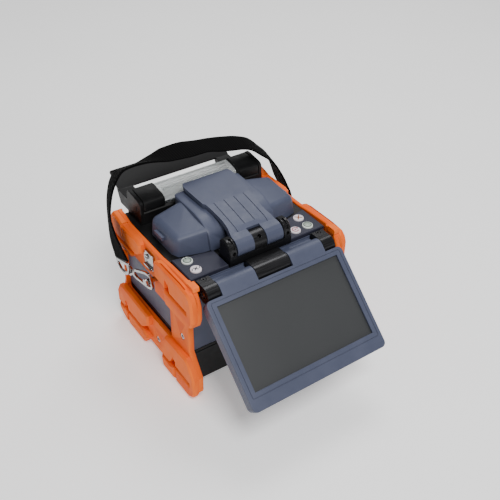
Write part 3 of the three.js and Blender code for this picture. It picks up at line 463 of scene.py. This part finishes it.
def bar(shape, centre, length, width, angle):
    """A raised bar with rounded ends, centred on a point."""
    turn = math.radians(angle)
    along = Vector((math.cos(turn), math.sin(turn), 0))
    across = Vector((-along.y, along.x, 0))
    outline = []
    for side in (1, -1):
        end = centre + along * side * (length / 2 - width / 2)
        for i in range(9):
            a = math.radians(-90 + 180 * i / 8)
            out = along * math.cos(a) + across * math.sin(a)
            outline.append(end + out * side * width / 2)
    rise = Vector((0, 0, MARK_HEIGHT))
    loop_strip(shape, [outline, [p + rise for p in outline]])


def disc(shape, centre, radius, height, steps=32):
    """A flat raised disc with a slightly smaller top."""
    def ring(r, z):
        return [centre + Vector((r * math.cos(a), r * math.sin(a), z))
                for a in (math.tau * i / steps for i in range(steps))]
    loop_strip(shape, [ring(radius, 0), ring(radius - 0.05, height)])


def button_marks():
    """Generic signs on the five buttons: power, a four-way menu cross, cancel, confirm and reset."""
    def at(label):
        x, y = BUTTONS[label]
        return Vector((x, y, BUTTON_TOP - MARK_SUNK))

    def power(shape):
        arc_band(shape, at("power"), 3.0, 0.7, 125, 415)
        bar(shape, at("power") + Vector((0, 2.5, 0)), 2.4, 0.7, 90)

    def menu(shape):
        for angle in (45, 135):
            bar(shape, at("menu"), 4.4, 0.75, angle)
        for x in (3, -3):
            bar(shape, at("menu") + Vector((x, 0, 0)), 1.9, 0.7, 65)

    def cancel(shape):
        for angle in (50, -40):
            bar(shape, at("cancel"), 6.6, 1.0, angle)

    def confirm(shape):
        arc_band(shape, at("confirm"), 3.1, 0.6, 0, 360, 40)

    def reset(shape):
        arc_band(shape, at("reset"), 2.4, 0.8, 20, 320)
        bar(shape, at("reset") + Vector((2.5, 1.0, 0)), 2.2, 0.7, 60)
        bar(shape, at("reset"), 1.6, 1.1, 0)

    signs = {
        "power": (power, INK_GREEN),
        "menu": (menu, INK_GREY),
        "cancel": (cancel, INK_ORANGE),
        "confirm": (confirm, INK_GREEN),
        "reset": (reset, INK_RED),
    }
    for label, (build, ink) in signs.items():
        piece_from(f"mark_{label}", build, ink, f"{label}_button")

    def face(shape):
        disc(shape, at(label), FACE_RADIUS, FACE_HEIGHT)

    for label in ("power", "confirm"):
        piece_from(f"face_{label}", face, BUTTON_FACE, f"{label}_button")


button_marks()


def spline_point(points, i, u):
    """A centripetal Catmull-Rom point between points i and i + 1."""
    last = len(points) - 1
    before = points[i - 1] if i > 0 else points[0] * 2 - points[1]
    after = points[i + 2] if i + 2 <= last else points[last] * 2 - points[last - 1]
    p0, p1, p2, p3 = before, points[i], points[i + 1], after
    d0, d1, d2 = (max(math.sqrt((b - a).length), 1e-4) for a, b in ((p0, p1), (p1, p2), (p2, p3)))
    m1 = ((p1 - p0) / d0 - (p2 - p0) / (d0 + d1) + (p2 - p1) / d1) * d1
    m2 = ((p2 - p1) / d1 - (p3 - p1) / (d1 + d2) + (p3 - p2) / d2) * d1
    h00, h10 = 2 * u**3 - 3 * u**2 + 1, u**3 - 2 * u**2 + u
    h01, h11 = -2 * u**3 + 3 * u**2, u**3 - u**2
    return p1 * h00 + m1 * h10 + p2 * h01 + m2 * h11


def strap_sections(steps):
    """Frames along the strap: the point, its width direction, its normal and the length so far."""
    line = [Vector(p) for p, _ in STRAP_ROUTE]
    across = [Vector(w) for _, w in STRAP_ROUTE]
    spans = len(line) - 1
    places = []
    for k in range(steps + 1):
        i = min(int(spans * k / steps), spans - 1)
        u = spans * k / steps - i
        places.append((spline_point(line, i, u), spline_point(across, i, u)))
    sections = []
    run = 0.0
    for k, (point, width) in enumerate(places):
        ahead = places[min(k + 1, steps)][0]
        behind = places[max(k - 1, 0)][0]
        tangent = (ahead - behind).normalized()
        width = (width - tangent * width.dot(tangent)).normalized()
        if k:
            run += (point - places[k - 1][0]).length
        sections.append((point, width, tangent.cross(width), run))
    return sections


def add_strap():
    """Nylon webbing with rounded selvedges, a slightly crowned face and UVs that run along the tape."""
    sections = strap_sections(STRAP_STEPS)
    half_width, half = STRAP_WIDTH / 2, STRAP_THICKNESS / 2
    profile = []
    for side in (1, -1):
        for w in (-0.92, -0.6, -0.2, 0.2, 0.6, 0.92):
            profile.append((side * w * half_width, side * half * (1 - 0.12 * abs(w))))
        profile.append((side * half_width, side * half * 0.35))
        profile.append((side * half_width, -side * half * 0.35))
    mesh = bpy.data.meshes.new("strap_webbing")
    shape = bmesh.new()
    uv = shape.loops.layers.uv.new("tape")
    rings = []
    for point, width, normal, _ in sections:
        rings.append([shape.verts.new((point + width * w + normal * t) * MM) for w, t in profile])
    count = len(profile)
    for k in range(len(rings) - 1):
        for i in range(count):
            j = (i + 1) % count
            face = shape.faces.new((rings[k][i], rings[k][j], rings[k + 1][j], rings[k + 1][i]))
            face.smooth = True
            here, there = sections[k][-1], sections[k + 1][-1]
            runs = (here, here, there, there)
            for loop, run, corner in zip(face.loops, runs, (i, j, j, i)):
                loop[uv].uv = (run * MM, profile[corner][0] * MM)
    shape.faces.new(rings[0][::-1])
    shape.faces.new(rings[-1])
    bmesh.ops.recalc_face_normals(shape, faces=shape.faces)
    shape.to_mesh(mesh)
    shape.free()
    mesh.materials.append(WEBBING)
    strap = link("strap_webbing", mesh)
    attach(strap, "carrying_strap")
    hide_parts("strap")


add_strap()


# ---- Camera, light and floor ----
def add_camera():
    data = bpy.data.cameras.new("camera")
    data.sensor_width = SENSOR_WIDTH
    data.lens = CAMERA_LENS
    data.clip_start = 0.01
    data.clip_end = 20
    camera = link("camera", data)
    turn = (
        Matrix.Rotation(CAMERA_AZIMUTH, 4, "Z")
        @ Matrix.Rotation(math.pi / 2 - CAMERA_ELEVATION, 4, "X")
        @ Matrix.Rotation(CAMERA_ROLL, 4, "Z")
    )
    camera.matrix_world = Matrix.Translation(CAMERA_AT) @ turn
    bpy.context.scene.camera = camera


def add_light(name, at, size, power):
    data = bpy.data.lights.new(name, "AREA")
    data.shape = "SQUARE"
    data.size = size
    data.energy = power
    light = link(name, data)
    light.location = at
    light.rotation_euler = (Vector(LIGHT_TARGET) - Vector(at)).to_track_quat("-Z", "Y").to_euler()


def add_world():
    world = bpy.data.worlds.new("studio")
    world.use_nodes = True
    background = world.node_tree.nodes["Background"]
    background.inputs["Color"].default_value = (1, 1, 1, 1)
    background.inputs["Strength"].default_value = WORLD_STRENGTH
    bpy.context.scene.world = world


def add_floor():
    mesh = bpy.data.meshes.new("floor")
    shape = bmesh.new()
    bmesh.ops.create_grid(shape, x_segments=8, y_segments=8, size=FLOOR_HALF_SIZE)
    shape.to_mesh(mesh)
    shape.free()
    material, tree, shader, place = new_material("floor_paper")
    tone = noise(tree, place, 3, 2)
    tones = [(0.3, (0.9, 0.9, 0.9)), (0.7, (0.93, 0.93, 0.93))]
    tree.links.new(ramp(tree, tone, tones), shader.inputs["Base Color"])
    shader.inputs["Roughness"].default_value = 0.9
    shader.inputs["Emission Color"].default_value = (1, 1, 1, 1)
    shader.inputs["Emission Strength"].default_value = FLOOR_GLOW
    mesh.materials.append(material)
    floor = link("floor", mesh)
    floor.location = (0, 0, -FLOOR_DROP)


add_camera()
add_world()
for light in LIGHTS:
    add_light(*light)
add_floor()
